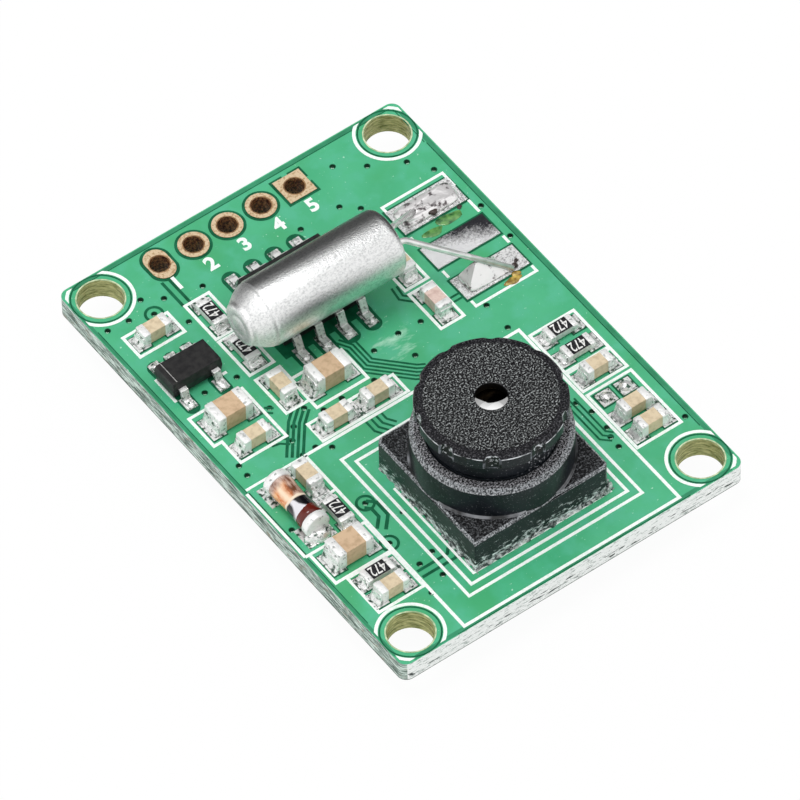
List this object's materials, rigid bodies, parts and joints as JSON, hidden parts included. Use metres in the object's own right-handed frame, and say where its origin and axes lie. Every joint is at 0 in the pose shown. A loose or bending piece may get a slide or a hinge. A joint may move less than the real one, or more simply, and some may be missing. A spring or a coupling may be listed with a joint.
{
  "type": "camera module",
  "caption": "Small circuit board camera with a screw-focus lens in a square holder, a metal crystal can, chips, a glass diode and a row of plated header holes.",
  "frame": {"origin": "centre of the four mounting holes on the board's underside", "axes": "+Z out of the board's lens side, +Y along the board towards the row of header holes"},
  "size_m": [0.02, 0.028, 0.009],
  "materials": {
    "alumina": "white alumina",
    "black_moulding": "black moulded plastic with a fine spark-eroded grain",
    "board_mask": "green glass-fibre laminate with a satin solder mask",
    "can_metal": "satin drawn metal",
    "diode_glass": "amber glass",
    "end_cap_tin": "tin-plated end caps",
    "filter_glass": "coated filter glass",
    "gold_pads": "gold-plated copper pads",
    "large_capacitor_ceramic": "tan ceramic",
    "lens_glass": "clear optical glass",
    "mould_compound": "black epoxy moulding compound",
    "resistor_glaze": "black overglaze",
    "seal_glass": "dark sealing glass",
    "silicon": "polished silicon",
    "small_capacitor_ceramic": "beige ceramic",
    "solder": "bright solder",
    "tinned_copper": "tinned copper",
    "tinned_leads": "tin-plated lead frame"
  },
  "bodies": {
    "board": {"capacitor_1": "small_capacitor_ceramic", "capacitor_10": "small_capacitor_ceramic", "capacitor_11": "large_capacitor_ceramic", "capacitor_12": "small_capacitor_ceramic", "capacitor_13": "small_capacitor_ceramic", "capacitor_14": "small_capacitor_ceramic", "capacitor_15": "small_capacitor_ceramic", "capacitor_2": "large_capacitor_ceramic", "capacitor_3": "small_capacitor_ceramic", "capacitor_4": "small_capacitor_ceramic", "capacitor_5": "large_capacitor_ceramic", "capacitor_6": "small_capacitor_ceramic", "capacitor_7": "small_capacitor_ceramic", "capacitor_8": "small_capacitor_ceramic", "capacitor_9": "small_capacitor_ceramic", "capacitor_end_caps": "end_cap_tin", "component_lands": "tinned_copper", "crystal_can": "can_metal", "crystal_lead_1": "tinned_leads", "crystal_lead_2": "tinned_leads", "crystal_pads": "tinned_copper", "crystal_seal": "seal_glass", "crystal_solder": "solder", "diode_die": "silicon", "diode_end_caps": "tinned_leads", "diode_glass": "diode_glass", "header_pads": "gold_pads", "image_sensor": "silicon", "infrared_filter": "filter_glass", "lens_holder": "black_moulding", "memory_chip_body": "mould_compound", "memory_chip_leads": "tinned_leads", "pcb": "board_mask", "processor_body": "mould_compound", "processor_leads": "tinned_leads", "regulator_body": "mould_compound", "regulator_leads": "tinned_leads", "resistor_1": "alumina", "resistor_2": "alumina", "resistor_3": "alumina", "resistor_4": "alumina", "resistor_5": "alumina", "resistor_6": "alumina", "resistor_end_caps": "end_cap_tin", "resistor_glazes": "resistor_glaze", "sensor_cover_glass": "lens_glass", "solder_joints": "solder", "under_capacitor_1": "small_capacitor_ceramic", "under_capacitor_2": "small_capacitor_ceramic", "under_capacitor_3": "small_capacitor_ceramic", "under_capacitor_4": "small_capacitor_ceramic", "under_capacitor_5": "small_capacitor_ceramic", "under_capacitor_6": "small_capacitor_ceramic"},
    "lens_cell": {"front_lens": "lens_glass", "lens_spacer": "black_moulding", "rear_lens": "lens_glass", "lens_retaining_ring": "black_moulding"},
    "lens_barrel": {"lens_barrel": "black_moulding"}
  },
  "joints": [
    {"name": "focus_travel", "type": "slide", "parent": "board", "child": "lens_cell", "axis": [0, 0, 1], "range_m": [-0.00035, 0.00035]},
    {"name": "focus_turn", "type": "hinge", "parent": "lens_cell", "child": "lens_barrel", "pos_m": [0, -0.0075, 0.005], "axis": [0, 0, 1], "range_deg": [-361, 361]}
  ],
  "couplings": [
    {"joint": "focus_turn", "follows": "focus_travel", "rad_per_m": 17952}
  ]
}
